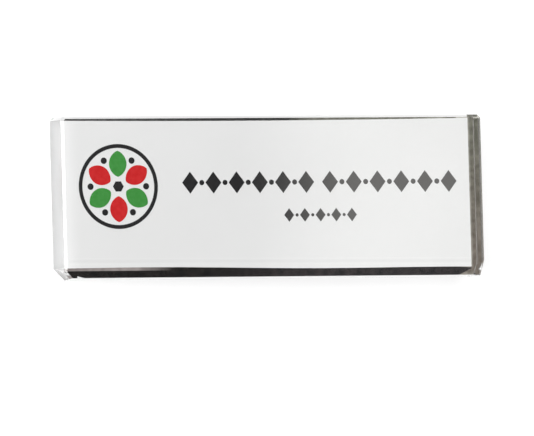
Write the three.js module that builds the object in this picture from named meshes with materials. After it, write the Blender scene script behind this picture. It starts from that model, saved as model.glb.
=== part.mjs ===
// A clear name badge: a polished acrylic block over a white printed card, with a magnet bar behind.
// Millimetres. The badge lies on its back: +X runs along it, +Y up its face and +Z out of the face.
// The origin is in the middle of the magnet bar's back face, where it meets the surface or the cloth.

import * as THREE from "three";

// Acrylic block, with a flat bevel round the face that is hardly there along the bottom
const BLOCK_LENGTH = 70;
const BLOCK_HEIGHT = 25;
const BLOCK_THICKNESS = 5;
const FACE_BEVEL = 0.38;
const BOTTOM_BEVEL_WIDTH = 0.1;
const BACK_EDGE_CHAMFER = 0.08;

// Its four corners are cut. The lower left cut grows towards the back, and the lower right one is steep.
const TOP_CUT = 0.5;
const LEFT_CUT_FRONT = 0.8;
const LEFT_CUT_BACK = 1.8;
const RIGHT_CUT_LENGTH = 0.75;
const RIGHT_CUT_HEIGHT = 2.4;

// Printed card, glued behind the block a little off the middle. It is cut by hand, not quite square.
const CARD_LEFT_MARGIN = 0.25;
const CARD_RIGHT_MARGIN = 0.97;
const CARD_TOP_LEFT_MARGIN = 0.48;
const CARD_TOP_RIGHT_MARGIN = 0.34;
const CARD_BOTTOM_LEFT_MARGIN = 1.75;
const CARD_BOTTOM_RIGHT_MARGIN = 1.35;
const CARD_THICKNESS = 0.3;

// Magnet bar
const MAGNET_LENGTH = 45;
const MAGNET_HEIGHT = 13;
const MAGNET_THICKNESS = 4;
const MAGNET_CORNER_RADIUS = 3;
const MAGNET_EDGE_CHAMFER = 0.5;

// Films of glue between the layers
const CARD_GLUE_GAP = 0.1;
const MAGNET_GLUE_GAP = 0.1;

// Steps round a corner: one makes a flat cut
const CUT_STEPS = 1;
const ROUND_STEPS = 8;

// Heights of the layers above the surface that the badge lies on
const CARD_BASE = MAGNET_THICKNESS + MAGNET_GLUE_GAP;
const BLOCK_BASE = CARD_BASE + CARD_THICKNESS + CARD_GLUE_GAP;

const ACRYLIC = new THREE.MeshStandardMaterial({
  color: 0xe8eeea, roughness: 0.04, metalness: 0, transparent: true, opacity: 0.35,
});
const CARD = new THREE.MeshStandardMaterial({ color: 0xeeeeec, roughness: 0.6, metalness: 0 });
const MAGNET = new THREE.MeshStandardMaterial({ color: 0x26262a, roughness: 0.45, metalness: 0 });

// Points round a rectangle about the origin, anticlockwise from its upper right corner.
// Each corner is cut or rounded by its own lengths along x and y.
function corneredOutline(length, height, corners, steps) {
  const quarters = [[1, 1], [-1, 1], [-1, -1], [1, -1]];
  return quarters.flatMap(([sideX, sideY], quarter) => {
    const { x, y } = corners[quarter];
    return Array.from({ length: steps + 1 }, (_, step) => {
      const angle = (quarter + step / steps) * Math.PI / 2;
      return new THREE.Vector2(
        sideX * (length / 2 - x) + x * Math.cos(angle),
        sideY * (height / 2 - y) + y * Math.sin(angle),
      );
    });
  });
}

// A closed solid through outlines that have as many points each, with flat ends.
function loftedSolid(levels) {
  const count = levels[0].outline.length;
  const positions = levels.flatMap(({ outline, z }) => outline.flatMap((point) => [point.x, point.y, z]));
  const bottomCentre = positions.length / 3;
  const topCentre = bottomCentre + 1;
  const topRing = (levels.length - 1) * count;
  positions.push(0, 0, levels[0].z, 0, 0, levels[levels.length - 1].z);

  const triangles = [];
  for (let i = 0; i < count; i += 1) {
    const next = (i + 1) % count;
    triangles.push(bottomCentre, next, i, topCentre, topRing + i, topRing + next);
    for (let ring = 0; ring < topRing; ring += count) {
      triangles.push(ring + i, ring + next, ring + count + next);
      triangles.push(ring + i, ring + count + next, ring + count + i);
    }
  }
  const geometry = new THREE.BufferGeometry();
  geometry.setAttribute("position", new THREE.Float32BufferAttribute(positions, 3));
  geometry.setIndex(triangles);
  geometry.computeVertexNormals();
  return geometry;
}

// A corner cut on an outline drawn in at the ends and at the long side, so that the cut keeps its slope.
function insetCut(cut, endInset, sideInset) {
  const slant = Math.hypot(cut.x, cut.y);
  return {
    x: cut.x - endInset + (endInset * slant - cut.x * sideInset) / cut.y,
    y: cut.y - sideInset + endInset * (slant - cut.y) / cut.x,
  };
}

// The block's outline, drawn in from its full size by inset, and along the bottom by bottomInset.
function blockOutline(leftCut, inset, bottomInset) {
  const top = insetCut({ x: TOP_CUT, y: TOP_CUT }, inset, inset);
  const left = insetCut({ x: leftCut, y: leftCut }, inset, bottomInset);
  const right = insetCut({ x: RIGHT_CUT_LENGTH, y: RIGHT_CUT_HEIGHT }, inset, bottomInset);
  const length = BLOCK_LENGTH - 2 * inset;
  const height = BLOCK_HEIGHT - inset - bottomInset;
  const middle = (bottomInset - inset) / 2;
  return corneredOutline(length, height, [top, top, left, right], CUT_STEPS)
    .map((point) => new THREE.Vector2(point.x, point.y + middle));
}

// The block: straight sides, a broken back edge and the bevel round the face.
function acrylicBlock() {
  const block = new THREE.Mesh(loftedSolid([
    { outline: blockOutline(LEFT_CUT_BACK, BACK_EDGE_CHAMFER, BACK_EDGE_CHAMFER), z: 0 },
    { outline: blockOutline(LEFT_CUT_BACK, 0, 0), z: BACK_EDGE_CHAMFER },
    { outline: blockOutline(LEFT_CUT_FRONT, 0, 0), z: BLOCK_THICKNESS - FACE_BEVEL },
    { outline: blockOutline(LEFT_CUT_FRONT, FACE_BEVEL, BOTTOM_BEVEL_WIDTH), z: BLOCK_THICKNESS },
  ]), ACRYLIC);
  block.name = "acrylic_block";
  block.position.z = BLOCK_BASE;
  return block;
}

function printedCard() {
  const right = BLOCK_LENGTH / 2 - CARD_RIGHT_MARGIN;
  const left = CARD_LEFT_MARGIN - BLOCK_LENGTH / 2;
  const outline = [
    new THREE.Vector2(right, BLOCK_HEIGHT / 2 - CARD_TOP_RIGHT_MARGIN),
    new THREE.Vector2(left, BLOCK_HEIGHT / 2 - CARD_TOP_LEFT_MARGIN),
    new THREE.Vector2(left, CARD_BOTTOM_LEFT_MARGIN - BLOCK_HEIGHT / 2),
    new THREE.Vector2(right, CARD_BOTTOM_RIGHT_MARGIN - BLOCK_HEIGHT / 2),
  ];
  const card = new THREE.Mesh(loftedSolid([{ outline, z: 0 }, { outline, z: CARD_THICKNESS }]), CARD);
  card.name = "printed_card";
  card.position.z = CARD_BASE;
  return card;
}

function magnetBar() {
  const outline = (inset) => {
    const radius = MAGNET_CORNER_RADIUS - inset;
    const corners = Array(4).fill({ x: radius, y: radius });
    return corneredOutline(MAGNET_LENGTH - 2 * inset, MAGNET_HEIGHT - 2 * inset, corners, ROUND_STEPS);
  };
  const bar = new THREE.Mesh(loftedSolid([
    { outline: outline(MAGNET_EDGE_CHAMFER), z: 0 },
    { outline: outline(0), z: MAGNET_EDGE_CHAMFER },
    { outline: outline(0), z: MAGNET_THICKNESS },
  ]), MAGNET);
  bar.name = "magnet_bar";
  return bar;
}

const badge = new THREE.Group();
badge.add(acrylicBlock(), printedCard(), magnetBar());

export default badge;
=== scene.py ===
import math

import bmesh
import bpy
from mathutils import Matrix, Vector


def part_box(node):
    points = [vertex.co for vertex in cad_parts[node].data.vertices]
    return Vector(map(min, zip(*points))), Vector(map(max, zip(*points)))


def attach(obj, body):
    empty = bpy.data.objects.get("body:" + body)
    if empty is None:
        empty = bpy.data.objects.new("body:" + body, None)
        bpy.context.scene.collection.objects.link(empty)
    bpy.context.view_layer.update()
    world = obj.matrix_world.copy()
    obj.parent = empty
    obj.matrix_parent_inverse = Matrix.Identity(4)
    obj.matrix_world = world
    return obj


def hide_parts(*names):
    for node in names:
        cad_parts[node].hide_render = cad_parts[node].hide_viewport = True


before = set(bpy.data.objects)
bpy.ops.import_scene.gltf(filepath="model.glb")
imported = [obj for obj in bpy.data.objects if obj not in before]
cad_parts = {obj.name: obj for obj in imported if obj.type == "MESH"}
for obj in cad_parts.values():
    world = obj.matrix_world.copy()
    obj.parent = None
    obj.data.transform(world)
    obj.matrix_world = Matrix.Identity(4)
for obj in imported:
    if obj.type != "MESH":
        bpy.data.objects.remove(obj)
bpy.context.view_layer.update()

MM = 0.001

# Angle and framing of the photograph, in its 534 x 436 frame
PHOTO_WIDTH = 534
PHOTO_HEIGHT = 436
FACE_CENTRE_X_PX = 273.94
FACE_CENTRE_Y_PX = 195.67
PX_PER_MM = 6.4797
CAMERA_TO_LEFT = math.radians(22.22)
CAMERA_TO_BOTTOM = math.radians(2.826)
CAMERA_ROLL = math.radians(1.594)
CAMERA_DISTANCE = 2.5
CAMERA_REACH = 100
SENSOR_WIDTH = 36.0

# The block's cut at the lower left, its bevel and its back edge, as in its solid
LEFT_CUT_FRONT = 0.8 * MM
LEFT_CUT_BACK = 1.8 * MM
FACE_BEVEL = 0.38 * MM
BACK_EDGE = 0.08 * MM

# Finishes of the block's faces: how deep each reaches from its face, and where the left wall's frost starts
WALL_FADE = 0.03 * MM
WALL_DEPTH = 0.02 * MM
CUT_DEPTH = 0.02 * MM
BACK_EDGE_FROM = 0.002 * MM
BACK_EDGE_TO = 0.078 * MM
FROST_START = 0.5 * MM
ACRYLIC_IOR = 1.49

# Card: it touches the block, and its cut edges wander a little within its solid
CONTACT = 0.02 * MM
CARD_EDGE_STEPS = 48
TOP_EDGE_SAG = 0.2 * MM
BOTTOM_EDGE_WAVE = 0.1 * MM
BOTTOM_WAVE_LENGTH = 50 * MM
BOTTOM_WAVE_START = -17 * MM

# Faint lines along the card's lower edge: share of the height that they cover, and brightness
EDGE_LINES_HEIGHT = 2 * MM
EDGE_LINES = ((0.0, 0.97), (0.08, 1.0), (0.14, 0.97), (0.32, 1.0), (0.38, 0.99), (0.5, 0.94), (0.6, 0.94),
              (0.78, 1.0), (0.84, 0.97))

# Painted light: the card is brighter by its left end, over this width
PAINTED_LIGHT_WIDTH = 4 * MM

# Painted glare: the card and the print are paler towards the right half of the face
PAINTED_GLARE_FROM = -5 * MM
PAINTED_GLARE_TO = 18 * MM

# The dark cloth that shows through the block reaches just past the clear margins; its light and shade are
# painted
CLOTH_REACH_X = 37.5 * MM
CLOTH_REACH_Y = 13.5 * MM

# Its colours, each from its darkest threads to its palest
CLOTH_COLOURS = {
    "black": ((0.0, 0.0, 0.0), (0.012, 0.009, 0.008)),
    "charcoal": ((0.008, 0.007, 0.008), (0.03, 0.024, 0.025)),
    "streak": ((0.25, 0.22, 0.215), (0.36, 0.32, 0.31)),
    "near_black": ((0.0, 0.0, 0.0), (0.016, 0.016, 0.016)),
    "grey": ((0.05, 0.05, 0.05), (0.1, 0.1, 0.1)),
    "olive": ((0.11, 0.11, 0.085), (0.2, 0.2, 0.165)),
    "pale_olive": ((0.25, 0.25, 0.21), (0.33, 0.33, 0.28)),
    "end_olive": ((0.10, 0.10, 0.075), (0.20, 0.195, 0.155)),
    "end_brown": ((0.11, 0.09, 0.07), (0.22, 0.185, 0.16)),
    "beige": ((0.4, 0.39, 0.35), (0.6, 0.58, 0.53)),
}

# Its places: from where a colour starts to where it is full, along the badge (X) or up its face (Y)
CHARCOAL_X = (-12 * MM, 12 * MM)
STREAK_X = (-14 * MM, -20 * MM)
STREAK_Y = (-10.98 * MM, -10.88 * MM)
GREY_X = (-8 * MM, -30 * MM)
OLIVE_X = (5.5 * MM, 10 * MM)
PALE_OLIVE_X = (26 * MM, 33 * MM)
END_BROWN_Y = (10 * MM, -10 * MM)
BEIGE_FOOT_Y = (-11.3 * MM, -12.3 * MM)
BEIGE_FOOT_SHARE = 0.5
BESIDE_CARD_X = (36.3 * MM, 35.8 * MM)
NOT_MIRRORED_X = 34 * MM
ABOVE_BOTTOM_Y = (-10.9 * MM, -10.6 * MM)

# The white patch at the lower left, whose upper edge falls towards the right
WHITE_PATCH_LEFT = -30 * MM
WHITE_PATCH_X = (-29.9 * MM, -27.2 * MM)
WHITE_PATCH_TOP = (-11.75 * MM, -12.4 * MM)

# The right end's colours start further to the right as they rise, and further left above the bottom
TAPER_Y = (-12.3 * MM, -11.0 * MM)
TAPER_X = (33.2 * MM, 36.0 * MM)
END_STEP = 4.2 * MM

# Floor: how far it reaches, its grey and how far it lights itself
FLOOR_REACH = 12.0
FLOOR_GREY = 0.4
FLOOR_GLOW = 0.68

# What the face mirrors: a dim room, then the soft edge of a window
GLARE_DISTANCE = 0.3
GLARE_REACH = 0.09
WINDOW_EDGE = (-7 * MM, 8 * MM)
ROOM_STRENGTH = 0.1
WINDOW_STRENGTH = 0.4

# Studio
WORLD_GREY = 0.9
WORLD_STRENGTH = 0.35
MAX_BOUNCES = 24
GLASS_BOUNCES = 20

# Print, in the card's plane from the middle of the face
INK_DEPTH = 0.03 * MM
EMBLEM_X = -24.6 * MM
EMBLEM_Y = 1.84 * MM
EMBLEM_RADIUS = 6.55 * MM
EMBLEM_LINE = 0.6 * MM
PETAL_COUNT = 6
PETAL_FROM = 1.5 * MM
PETAL_TO = 5.5 * MM
PETAL_WIDTH = 2.9 * MM
PETAL_TAPER = 0.4
HUB_RADIUS = 0.9 * MM
HUB_SIDES = 6
DOT_RADIUS = 0.5 * MM
DOT_DISTANCE = 4.6 * MM
NAME_BORDERS = ((-14.0 * MM, 8.0 * MM), (9.33 * MM, 31.9 * MM))
NAME_BORDER_Y = 2.35 * MM
NAME_BORDER_HEIGHT = 3.4 * MM
NAME_DIAMONDS = 6
TITLE_BORDER = (2.87 * MM, 15.0 * MM)
TITLE_BORDER_Y = -2.75 * MM
TITLE_BORDER_HEIGHT = 2.1 * MM
TITLE_DIAMONDS = 5
DIAMOND_WIDTH = 0.78
BORDER_DOT = 0.12
ROUND_STEPS = 64

block_low, block_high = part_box("acrylic_block")
card_low, card_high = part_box("printed_card")
face_centre = Vector((0, 0, block_high.z))
contact_plane = block_low.z + CONTACT


# Node helpers
class Shading:
    """A new material with its shader, and short ways to add nodes to it."""

    def __init__(self, name):
        self.material = bpy.data.materials.new(name)
        self.material.use_nodes = True
        self.nodes = self.material.node_tree.nodes
        self.links = self.material.node_tree.links
        self.shader = self.nodes["Principled BSDF"]
        self.position = self.nodes.new("ShaderNodeTexCoord").outputs["Object"]

    def set(self, **values):
        for name, value in values.items():
            self.shader.inputs[name.replace("_", " ")].default_value = value

    def link(self, output, input_name):
        self.links.new(output, self.shader.inputs[input_name])

    def noise(self, scale, detail=3.0, stretch=(1, 1, 1)):
        mapping = self.nodes.new("ShaderNodeMapping")
        mapping.inputs["Scale"].default_value = stretch
        texture = self.nodes.new("ShaderNodeTexNoise")
        texture.inputs["Scale"].default_value = scale
        texture.inputs["Detail"].default_value = detail
        self.links.new(self.position, mapping.inputs["Vector"])
        self.links.new(mapping.outputs["Vector"], texture.inputs["Vector"])
        return texture.outputs["Fac"]

    def along(self, axis):
        split = self.nodes.new("ShaderNodeSeparateXYZ")
        self.links.new(self.position, split.inputs["Vector"])
        return split.outputs[axis]

    def spread(self, value, start, end, low=0.0, high=1.0, smooth=False):
        node = self.nodes.new("ShaderNodeMapRange")
        if smooth:
            node.interpolation_type = "SMOOTHSTEP"
        for name, number in (("From Min", start), ("From Max", end), ("To Min", low), ("To Max", high)):
            node.inputs[name].default_value = number
        self.links.new(value, node.inputs["Value"])
        return node.outputs["Result"]

    def math(self, operation, first, second):
        node = self.nodes.new("ShaderNodeMath")
        node.operation = operation
        for place, value in enumerate((first, second)):
            if isinstance(value, (int, float)):
                node.inputs[place].default_value = value
            else:
                self.links.new(value, node.inputs[place])
        return node.outputs["Value"]

    def ramp(self, value, stops):
        """Grey levels at places from 0 to 1, with straight changes between them."""
        node = self.nodes.new("ShaderNodeValToRGB")
        elements = node.color_ramp.elements
        while len(elements) < len(stops):
            elements.new(1.0)
        for element, (place, level) in zip(elements, stops):
            element.position = place
            element.color = (level, level, level, 1)
        self.links.new(value, node.inputs["Fac"])
        return node.outputs["Color"]

    def blend(self, factor, first, second):
        node = self.nodes.new("ShaderNodeMix")
        node.data_type = "RGBA"
        self.links.new(factor, node.inputs["Factor"])
        for name, colour in (("A", first), ("B", second)):
            socket = next(s for s in node.inputs if s.name == name and s.type == "RGBA")
            if isinstance(colour, tuple):
                socket.default_value = (*colour, 1)
            else:
                self.links.new(colour, socket)
        return next(s for s in node.outputs if s.type == "RGBA")

    def tint(self, colour, by):
        node = self.nodes.new("ShaderNodeMix")
        node.data_type = "RGBA"
        node.blend_type = "MULTIPLY"
        node.inputs["Factor"].default_value = 1.0
        for name, source in (("A", colour), ("B", by)):
            self.links.new(source, next(s for s in node.inputs if s.name == name and s.type == "RGBA"))
        return next(s for s in node.outputs if s.type == "RGBA")

    def bump(self, height, strength, distance):
        node = self.nodes.new("ShaderNodeBump")
        node.inputs["Strength"].default_value = strength
        node.inputs["Distance"].default_value = distance
        self.links.new(height, node.inputs["Height"])
        self.link(node.outputs["Normal"], "Normal")


# Materials
def acrylic_material():
    """Polished, with a saw's frost, painted darker towards the back as shade, on the left wall and the cut
    below it, and a matt back edge painted dark as shade.
    """
    acrylic = Shading("clear_acrylic")
    acrylic.set(IOR=ACRYLIC_IOR)
    height = acrylic.along("Z")
    clear = acrylic.blend(acrylic.noise(90), (0.97, 0.98, 0.97), (0.995, 0.995, 0.99))
    saw_marks = acrylic.noise(1200, detail=4, stretch=(1, 1, 0.2))
    grey = acrylic.blend(saw_marks, (0.40, 0.41, 0.41), (0.48, 0.48, 0.48))
    # Painted shade: the frost is darker towards the back
    pale = acrylic.blend(acrylic.spread(height, block_low.z, block_high.z), grey, (0.9, 0.9, 0.9))
    on_wall = acrylic.spread(acrylic.along("X"), block_low.x + WALL_FADE, block_low.x + WALL_DEPTH)
    above_card_edge = acrylic.spread(acrylic.along("Y"), card_low.y, card_low.y + FROST_START)
    frosted_wall = acrylic.math("MULTIPLY", on_wall, above_card_edge)
    frosted = acrylic.math("MAXIMUM", frosted_wall, on_left_cut(acrylic))
    colour = acrylic.blend(frosted, clear, pale)
    # The matt back edge is painted dark as shade
    matt = acrylic.math("MULTIPLY", acrylic.math("GREATER_THAN", height, block_low.z + BACK_EDGE_FROM),
                        acrylic.math("LESS_THAN", height, block_low.z + BACK_EDGE_TO))
    rub = acrylic.spread(acrylic.noise(700, detail=4), 0.45, 0.75, low=0.0, high=0.03)
    finish = acrylic.math("ADD", rub, acrylic.spread(frosted, 0, 1, low=0.0, high=0.7))
    acrylic.link(acrylic.blend(matt, colour, (0.1, 0.09, 0.08)), "Base Color")
    acrylic.link(acrylic.math("SUBTRACT", 1.0, matt), "Transmission Weight")
    acrylic.link(acrylic.math("ADD", finish, acrylic.math("MULTIPLY", matt, 0.4)), "Roughness")
    return acrylic.material


def on_left_cut(acrylic):
    """1 on the flat cut at the block's lower left corner, which leans with height, and 0 elsewhere."""
    lean = acrylic.spread(acrylic.along("Z"), block_low.z + BACK_EDGE, block_high.z - FACE_BEVEL,
                          low=LEFT_CUT_BACK, high=LEFT_CUT_FRONT)
    from_corner = acrylic.math("SUBTRACT", acrylic.math("ADD", acrylic.along("X"), acrylic.along("Y")),
                               block_low.x + block_low.y)
    return acrylic.math("LESS_THAN", from_corner, acrylic.math("ADD", lean, CUT_DEPTH))


def card_material():
    """White card, with painted light by its left end and painted glare towards the right, and faint lines
    along its lower edge.

    The cut wall at its right end is painted dark as shade, because the clear margin beside it mirrors that
    wall.
    """
    card = Shading("white_card")
    card.set(Roughness=0.6, Specular_IOR_Level=0.1)
    across = card.along("X")
    height = card.along("Z")
    # Painted glare: paler towards the right
    painted_glare = card.spread(across, PAINTED_GLARE_FROM, PAINTED_GLARE_TO, smooth=True)
    paper = card.blend(painted_glare, (0.8, 0.8, 0.8), (0.885, 0.885, 0.88))
    fibres = card.blend(card.spread(card.noise(2500, detail=5), 0.3, 0.7), (0.98, 0.98, 0.98), (1, 1, 1))
    clouds = card.spread(card.noise(60), 0.3, 0.7, low=0.97, high=1.0)
    # Painted light: brighter by the left end
    painted_light = card.spread(across, card_low.x, card_low.x + PAINTED_LIGHT_WIDTH, low=1.0, high=0.0, smooth=True)
    bright = card.blend(painted_light, paper, (0.95, 0.95, 0.95))
    left_end = card_corner(-1, -1)
    right_end = card_corner(1, -1)
    lower_edge = card.spread(across, left_end.x, right_end.x, low=left_end.y, high=right_end.y)
    from_edge = card.spread(card.math("SUBTRACT", card.along("Y"), lower_edge), 0, EDGE_LINES_HEIGHT)
    for factor in (fibres, clouds, card.ramp(from_edge, EDGE_LINES)):
        bright = card.tint(bright, factor)
    # Painted shade on the cut wall at the right end
    between_faces = card.math("MULTIPLY", card.math("GREATER_THAN", height, card_low.z + CONTACT),
                              card.math("LESS_THAN", height, contact_plane - CONTACT / 2))
    at_right_end = card.math("GREATER_THAN", across, card_high.x - CONTACT)
    shaded_end_wall = card.math("MULTIPLY", between_faces, at_right_end)
    card.link(card.blend(shaded_end_wall, bright, (0.2, 0.19, 0.17)), "Base Color")
    return card.material


def ink_material(name, dark, light, glare_colour=None):
    ink = Shading(name)
    ink.set(Roughness=0.6, Specular_IOR_Level=0.1)
    colour = ink.blend(ink.spread(ink.noise(1500, detail=4), 0.3, 0.7), dark, light)
    if glare_colour:
        # Painted glare: the print is paler towards the right
        painted_glare = ink.spread(ink.along("X"), PAINTED_GLARE_FROM, PAINTED_GLARE_TO, smooth=True)
        colour = ink.blend(painted_glare, colour, glare_colour)
    ink.link(colour, "Base Color")
    return ink.material


def magnet_material():
    plastic = Shading("magnet_plastic")
    grain = plastic.noise(3000, detail=4)
    black = plastic.blend(plastic.spread(grain, 0.3, 0.7), (0.02, 0.02, 0.022), (0.04, 0.04, 0.044))
    plastic.link(black, "Base Color")
    plastic.link(plastic.spread(grain, 0.3, 0.7, low=0.4, high=0.6), "Roughness")
    plastic.bump(grain, strength=0.4, distance=0.05 * MM)
    return plastic.material


# Shapes
def round_outline(x, y, radius, steps=ROUND_STEPS):
    turns = [2 * math.pi * i / steps for i in range(steps)]
    return [(x + radius * math.cos(turn), y + radius * math.sin(turn)) for turn in turns]


def diamond_outline(x, y, width, height):
    return [(x + width / 2, y), (x, y + height / 2), (x - width / 2, y), (x, y - height / 2)]


def petal_outline(x, y, turn):
    """A leaf whose two tips point at the emblem's middle and away from it."""
    half = (PETAL_TO - PETAL_FROM) / 2
    points = []
    for i in range(ROUND_STEPS):
        around = 2 * math.pi * i / ROUND_STEPS
        along = PETAL_FROM + half - half * math.cos(around)
        across = -PETAL_WIDTH / 2 * math.sin(around) * abs(math.sin(around)) ** PETAL_TAPER
        points.append((x + along * math.cos(turn) - across * math.sin(turn),
                       y + along * math.sin(turn) + across * math.cos(turn)))
    return points


def add_walls(bm, outline, low, high):
    """The walls round an outline, and the rings of points at their foot and top."""
    rings = [[bm.verts.new((x, y, z)) for x, y in outline] for z in (low, high)]
    for i in range(len(outline)):
        j = (i + 1) % len(outline)
        bm.faces.new((rings[0][i], rings[0][j], rings[1][j], rings[1][i]))
    return rings


def add_plates(name, outlines, low, high, material, hole=None):
    """Flat plates between two heights, as one piece. A hole has as many points as its outline."""
    bm = bmesh.new()
    for outline in outlines:
        rings = add_walls(bm, outline, low, high)
        inner_rings = add_walls(bm, hole, low, high) if hole else (None, None)
        for ring, inner in zip(rings, inner_rings):
            if inner is None:
                bm.faces.new(ring)
                continue
            for i in range(len(ring)):
                j = (i + 1) % len(ring)
                bm.faces.new((ring[i], ring[j], inner[j], inner[i]))
    bmesh.ops.recalc_face_normals(bm, faces=bm.faces)
    mesh = bpy.data.meshes.new(name)
    bm.to_mesh(mesh)
    bm.free()
    mesh.materials.append(material)
    piece = bpy.data.objects.new(name, mesh)
    bpy.context.scene.collection.objects.link(piece)
    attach(piece, "root")
    return piece


def add_print(name, outlines, material, hole=None):
    add_plates(name, outlines, contact_plane - INK_DEPTH / 2, contact_plane + INK_DEPTH / 2, material, hole)


# Pieces
def dress_block():
    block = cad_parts["acrylic_block"]
    block.data.materials.clear()
    block.data.materials.append(acrylic_material())
    block.visible_shadow = False
    block.visible_diffuse = False


def dress_magnet():
    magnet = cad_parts["magnet_bar"]
    magnet.data.materials.clear()
    magnet.data.materials.append(magnet_material())


def card_corner(side_x, side_y):
    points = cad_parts["printed_card"].data.vertices
    corner = max(points, key=lambda point: side_x * point.co.x + side_y * point.co.y)
    return corner.co.to_2d()


def card_outline():
    """Round the solid's four corners, with the long edges a little inside its straight ones."""
    points = []
    for i in range(CARD_EDGE_STEPS + 1):
        share = i / CARD_EDGE_STEPS
        place = card_corner(1, 1).lerp(card_corner(-1, 1), share)
        points.append((place.x, place.y - TOP_EDGE_SAG * 4 * share * (1 - share)))
    for i in range(CARD_EDGE_STEPS + 1):
        place = card_corner(-1, -1).lerp(card_corner(1, -1), i / CARD_EDGE_STEPS)
        turn = 2 * math.pi * (place.x - BOTTOM_WAVE_START) / BOTTOM_WAVE_LENGTH
        points.append((place.x, place.y + BOTTOM_EDGE_WAVE * (1 + math.cos(turn))))
    return points


def add_card():
    card = add_plates("card_sheet", [card_outline()], card_low.z, contact_plane, card_material())
    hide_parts("printed_card")


def add_emblem(dark, green, red):
    ring = round_outline(EMBLEM_X, EMBLEM_Y, EMBLEM_RADIUS)
    hole = round_outline(EMBLEM_X, EMBLEM_Y, EMBLEM_RADIUS - EMBLEM_LINE)
    add_print("emblem_ring", [ring], dark, hole)
    add_print("emblem_hub", [round_outline(EMBLEM_X, EMBLEM_Y, HUB_RADIUS, HUB_SIDES)], dark)
    for i in range(PETAL_COUNT):
        turn = math.pi / 2 + 2 * math.pi * i / PETAL_COUNT
        between = turn + math.pi / PETAL_COUNT
        dot_x = EMBLEM_X + DOT_DISTANCE * math.cos(between)
        dot_y = EMBLEM_Y + DOT_DISTANCE * math.sin(between)
        add_print(f"emblem_petal_{i + 1}", [petal_outline(EMBLEM_X, EMBLEM_Y, turn)], (green, red)[i % 2])
        add_print(f"emblem_dot_{i + 1}", [round_outline(dot_x, dot_y, DOT_RADIUS)], dark)


def add_border(name, span, middle, height, diamonds, material):
    """A row of diamonds, with a dot between each and the next."""
    left, right = span
    width = DIAMOND_WIDTH * height
    pitch = (right - left - width) / (diamonds - 1)
    outlines = []
    for i in range(diamonds):
        x = left + width / 2 + i * pitch
        outlines.append(diamond_outline(x, middle, width, height))
        if i < diamonds - 1:
            outlines.append(round_outline(x + pitch / 2, middle, BORDER_DOT * height))
    add_print(name, outlines, material)


def add_borders(dark):
    for i, span in enumerate(NAME_BORDERS):
        add_border(f"name_border_{i + 1}", span, NAME_BORDER_Y, NAME_BORDER_HEIGHT, NAME_DIAMONDS, dark)
    add_border("title_border", TITLE_BORDER, TITLE_BORDER_Y, TITLE_BORDER_HEIGHT, TITLE_DIAMONDS, dark)


# Camera, floor and light
def add_camera():
    towards = Vector((-math.sin(CAMERA_TO_LEFT) * math.cos(CAMERA_TO_BOTTOM), -math.sin(CAMERA_TO_BOTTOM),
                      math.cos(CAMERA_TO_LEFT) * math.cos(CAMERA_TO_BOTTOM)))
    level_right = Vector((0, 1, 0)).cross(towards).normalized()
    level_up = towards.cross(level_right)
    right = math.cos(CAMERA_ROLL) * level_right - math.sin(CAMERA_ROLL) * level_up
    up = math.sin(CAMERA_ROLL) * level_right + math.cos(CAMERA_ROLL) * level_up
    beside = (FACE_CENTRE_X_PX - (PHOTO_WIDTH - 1) / 2) / PX_PER_MM * MM
    above = ((PHOTO_HEIGHT - 1) / 2 - FACE_CENTRE_Y_PX) / PX_PER_MM * MM
    data = bpy.data.cameras.new("camera")
    data.sensor_width = SENSOR_WIDTH
    data.lens = PX_PER_MM / MM * CAMERA_DISTANCE / PHOTO_WIDTH * SENSOR_WIDTH
    data.clip_end = CAMERA_REACH
    camera = bpy.data.objects.new("camera", data)
    bpy.context.scene.collection.objects.link(camera)
    camera.matrix_world = Matrix.Translation(
        face_centre + CAMERA_DISTANCE * towards - beside * right - above * up
    ) @ Matrix((right, up, towards)).transposed().to_4x4()
    bpy.context.scene.camera = camera


def add_softbox(name, direction, distance, size, power):
    data = bpy.data.lights.new(name, "AREA")
    data.energy = power
    data.size = size
    light = bpy.data.objects.new(name, data)
    bpy.context.scene.collection.objects.link(light)
    away = Vector(direction).normalized()
    light.matrix_world = Matrix.Translation(face_centre + away * distance) @ away.to_track_quat(
        "Z", "Y").to_matrix().to_4x4()
    light.visible_camera = False


def add_stage_plane(name, reach, place, facing, material):
    turn = Vector(facing).to_track_quat("Z", "Y").to_matrix().to_4x4()
    bm = bmesh.new()
    bmesh.ops.create_grid(bm, x_segments=1, y_segments=1, size=reach, matrix=Matrix.Translation(place) @ turn)
    mesh = bpy.data.meshes.new(name)
    bm.to_mesh(mesh)
    bm.free()
    mesh.materials.append(material)
    plane = bpy.data.objects.new(name, mesh)
    bpy.context.scene.collection.objects.link(plane)
    return plane


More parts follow.
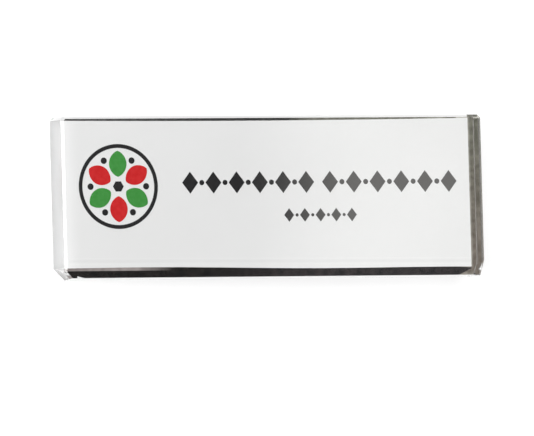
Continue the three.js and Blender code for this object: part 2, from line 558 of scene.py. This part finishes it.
class Cloth:
    """The woven cloth seen through the clear margins, made of the floor's own nodes; it glows, with painted
    light and shade.
    """

    def __init__(self, floor):
        self.floor = floor
        self.across = floor.along("X")
        self.upward = floor.along("Y")
        self.weave = floor.spread(floor.noise(900, detail=5), 0.35, 0.65)
        self.above_bottom = floor.spread(self.upward, *ABOVE_BOTTOM_Y)

    def woven(self, name):
        return self.floor.blend(self.weave, *CLOTH_COLOURS[name])

    def bottom(self):
        """Painted shadow under the badge: black, with a paler streak along the upper left and a white patch
        below.
        """
        floor = self.floor
        colour = floor.blend(floor.spread(self.across, *CHARCOAL_X), self.woven("black"),
                             self.woven("charcoal"))
        on_streak = floor.math("MULTIPLY", floor.spread(self.across, *STREAK_X),
                               floor.spread(self.upward, *STREAK_Y))
        colour = floor.blend(on_streak, colour, self.woven("streak"))
        white_patch_top = floor.spread(self.across, *WHITE_PATCH_X, *WHITE_PATCH_TOP)
        white_patch = floor.math("MULTIPLY", floor.math("LESS_THAN", self.upward, white_patch_top),
                          floor.math("GREATER_THAN", self.across, WHITE_PATCH_LEFT))
        return floor.blend(white_patch, colour, (0.9, 0.9, 0.9))

    def top(self):
        """Painted light and shade: nearly black in the middle, grey towards the left, and olive, then pale,
        towards the right.
        """
        colour = self.woven("near_black")
        for name, span in (("grey", GREY_X), ("olive", OLIVE_X), ("pale_olive", PALE_OLIVE_X)):
            colour = self.floor.blend(self.floor.spread(self.across, *span), colour, self.woven(name))
        return colour

    def right_end(self):
        """Painted light: olive above and brown below, with beige at its foot and beside the card."""
        floor = self.floor
        colour = floor.blend(floor.spread(self.upward, *END_BROWN_Y), self.woven("end_olive"),
                             self.woven("end_brown"))
        beige = self.woven("beige")
        colour = floor.blend(floor.spread(self.upward, *BEIGE_FOOT_Y, high=BEIGE_FOOT_SHARE), colour, beige)
        direct = floor.math("MULTIPLY", floor.spread(self.across, *BESIDE_CARD_X),
                            floor.math("GREATER_THAN", self.across, NOT_MIRRORED_X))
        beside_card = floor.math("MULTIPLY", direct, self.above_bottom)
        return floor.blend(beside_card, colour, beige)

    def colour(self):
        floor = self.floor
        margins = floor.blend(floor.math("GREATER_THAN", self.upward, 0.0), self.bottom(), self.top())
        taper = floor.spread(self.upward, *TAPER_Y, *TAPER_X)
        end_from = floor.math("SUBTRACT", taper, floor.spread(self.above_bottom, 0, 1, high=END_STEP))
        return floor.blend(floor.math("GREATER_THAN", self.across, end_from), margins, self.right_end())


def floor_material():
    """Pale studio paper, a little self-lit. Through the clear block it shows dark woven cloth that glows with
    painted light and shade.
    """
    floor = Shading("pale_floor")
    floor.set(Base_Color=(FLOOR_GREY, FLOOR_GREY, FLOOR_GREY, 1), Roughness=0.9)
    floor.set(Emission_Color=(1, 1, 1, 1), Emission_Strength=FLOOR_GLOW)
    cloth = floor.nodes.new("ShaderNodeEmission")
    floor.links.new(Cloth(floor).colour(), cloth.inputs["Color"])
    path = floor.nodes.new("ShaderNodeLightPath")
    mix = floor.nodes.new("ShaderNodeMixShader")
    through = path.outputs["Is Transmission Ray"]
    for axis, reach in (("X", CLOTH_REACH_X), ("Y", CLOTH_REACH_Y)):
        off_middle = floor.math("ABSOLUTE", floor.along(axis), 0.0)
        through = floor.math("MULTIPLY", through, floor.math("LESS_THAN", off_middle, reach))
    floor.links.new(through, mix.inputs["Fac"])
    floor.links.new(floor.shader.outputs["BSDF"], mix.inputs[1])
    floor.links.new(cloth.outputs["Emission"], mix.inputs[2])
    floor.links.new(mix.outputs["Shader"], floor.nodes["Material Output"].inputs["Surface"])
    return floor.material


def glare_material(step_x):
    """A dim room, then the soft edge of a window round step_x."""
    glare = Shading("window_glare")
    emission = glare.nodes.new("ShaderNodeEmission")
    edge_from, edge_to = WINDOW_EDGE
    step = glare.spread(glare.along("X"), step_x + edge_from, step_x + edge_to,
                        low=ROOM_STRENGTH, high=WINDOW_STRENGTH, smooth=True)
    glare.links.new(step, emission.inputs["Strength"])
    glare.links.new(emission.outputs["Emission"], glare.nodes["Material Output"].inputs["Surface"])
    return glare.material


def add_glare():
    mirrored = Vector((math.sin(CAMERA_TO_LEFT) * math.cos(CAMERA_TO_BOTTOM), math.sin(CAMERA_TO_BOTTOM),
                       math.cos(CAMERA_TO_LEFT) * math.cos(CAMERA_TO_BOTTOM)))
    place = face_centre + GLARE_DISTANCE * mirrored
    plane = add_stage_plane("window_glare", GLARE_REACH, place, -mirrored, glare_material(place.x))
    plane.visible_camera = False
    plane.visible_diffuse = False
    plane.visible_shadow = False
    plane.visible_transmission = False


def add_world():
    world = bpy.data.worlds.new("studio")
    bpy.context.scene.world = world
    world.use_nodes = True
    background = world.node_tree.nodes["Background"]
    background.inputs["Color"].default_value = (WORLD_GREY, WORLD_GREY, WORLD_GREY, 1)
    background.inputs["Strength"].default_value = WORLD_STRENGTH


def set_light_bounces():
    cycles = bpy.context.scene.cycles
    cycles.max_bounces = MAX_BOUNCES
    cycles.glossy_bounces = GLASS_BOUNCES
    cycles.transmission_bounces = GLASS_BOUNCES


# The dark ink's third colour is its painted glare towards the right
dark_ink = ink_material("dark_ink", (0.012, 0.012, 0.013), (0.02, 0.019, 0.02), (0.135, 0.132, 0.128))
green_ink = ink_material("green_ink", (0.04, 0.235, 0.04), (0.055, 0.27, 0.055))
red_ink = ink_material("red_ink", (0.52, 0.012, 0.014), (0.58, 0.022, 0.024))
dress_block()
dress_magnet()
add_card()
add_emblem(dark_ink, green_ink, red_ink)
add_borders(dark_ink)
add_camera()
add_stage_plane("floor", FLOOR_REACH, place=(0, 0, 0), facing=(0, 0, 1), material=floor_material())
add_glare()
add_softbox("left_softbox", direction=(-0.9, 0.15, 0.45), distance=1.5, size=0.75, power=19.3)
add_softbox("top_softbox", direction=(-0.2, 0.6, 0.8), distance=1.6, size=1.0, power=14.6)
add_world()
set_light_bounces()
bpy.context.scene.view_settings.view_transform = "Standard"
